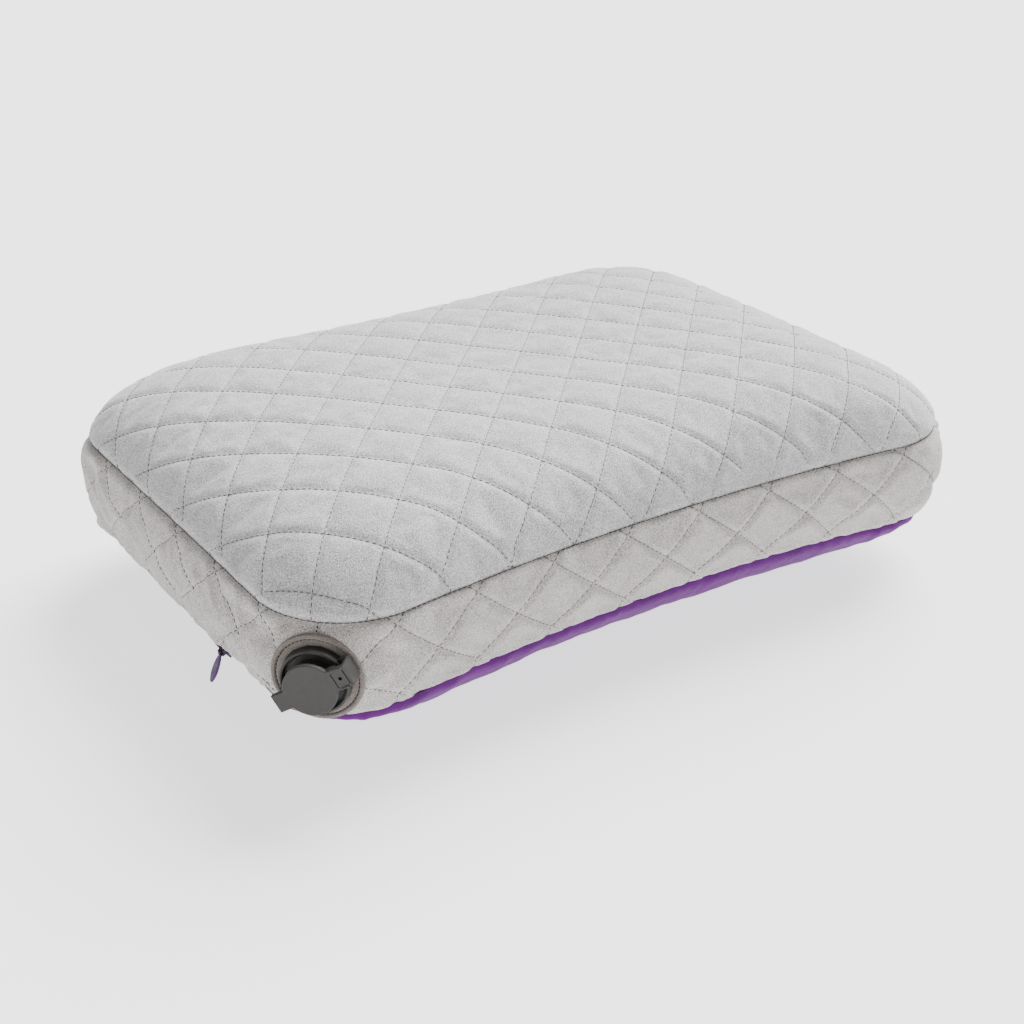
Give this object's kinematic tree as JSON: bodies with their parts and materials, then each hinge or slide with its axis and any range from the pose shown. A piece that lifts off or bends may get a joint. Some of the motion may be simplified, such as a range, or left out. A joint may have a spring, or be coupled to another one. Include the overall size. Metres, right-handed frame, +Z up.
{
  "type": "inflatable travel pillow",
  "caption": "Inflatable travel pillow: quilted grey top and side band over an air core, purple nylon underside, hinged air valve at one corner and a zipper along one short side.",
  "frame": {"origin": "centre of the flat resting patch on the underside, under the middle of the pillow", "axes": "+X along the long side, away from the valve and zipper end; +Y across the pillow, away from the valve's corner; +Z up out of the quilted top"},
  "size_m": [0.3852, 0.273, 0.1098],
  "materials": {
    "quilted_face": "brushed microfibre, matt, light grey, quilted",
    "batting": "white polyester batting",
    "lining": "pale grey woven lining",
    "nylon": "purple woven nylon, slight sheen",
    "air_film": "welded polyurethane film",
    "patch": "grey welded reinforcement patch",
    "valve_plastic": "mid-grey moulded, matt",
    "silicone": "translucent silicone",
    "zip_tape": "dark purple woven tape",
    "zip_coil": "dark purple nylon coil",
    "zip_metal": "dark purple lacquer",
    "zip_pull": "purple moulded pull"
  },
  "bodies": {
    "pillow": {"top_panel": "quilted_face", "top_fill": "batting", "top_lining": "lining", "side_band": "quilted_face", "band_fill": "batting", "band_lining": "lining", "bottom_panel": "nylon", "air_core_upper": "air_film", "air_core_lower": "air_film", "air_core_baffles": "air_film", "valve_weld_ring": "air_film", "valve_patch": "patch", "valve_base": "valve_plastic", "zipper_tape_upper": "zip_tape", "zipper_tape_lower": "zip_tape", "zipper_teeth_upper": "zip_coil", "zipper_teeth_lower": "zip_coil", "zipper_stops": "zip_metal"},
    "stage": {"valve_stage": "valve_plastic"},
    "flap": {"check_flap": "silicone"},
    "cap": {"valve_cap": "valve_plastic"},
    "slider": {"zipper_slider": "zip_metal"},
    "pull": {"zipper_pull": "zip_pull"}
  },
  "joints": [
    {"name": "stage_hinge", "type": "hinge", "parent": "pillow", "child": "stage", "pos_m": [-0.17295, -0.1375, 0.0596], "axis": [-0.3536, 0.3536, 0.866], "range_deg": [0, 60]},
    {"name": "cap_hinge", "type": "hinge", "parent": "stage", "child": "cap", "pos_m": [-0.17638, -0.13408, 0.0568], "axis": [-0.3536, 0.3536, 0.866], "range_deg": [0, 100]},
    {"name": "flap_lift", "type": "slide", "parent": "stage", "child": "flap", "axis": [0.7071, 0.7071, 0], "range_m": [0, 0.0015], "stiffness_N_per_m": 20},
    {"name": "slider_run", "type": "slide", "parent": "pillow", "child": "slider", "axis": [0, 1, 0], "range_m": [0, 0.12]},
    {"name": "pull_swing", "type": "hinge", "parent": "slider", "child": "pull", "pos_m": [-0.18435, -0.042, 0.02494], "axis": [0, 1, 0], "range_deg": [-50, 120]}
  ]
}
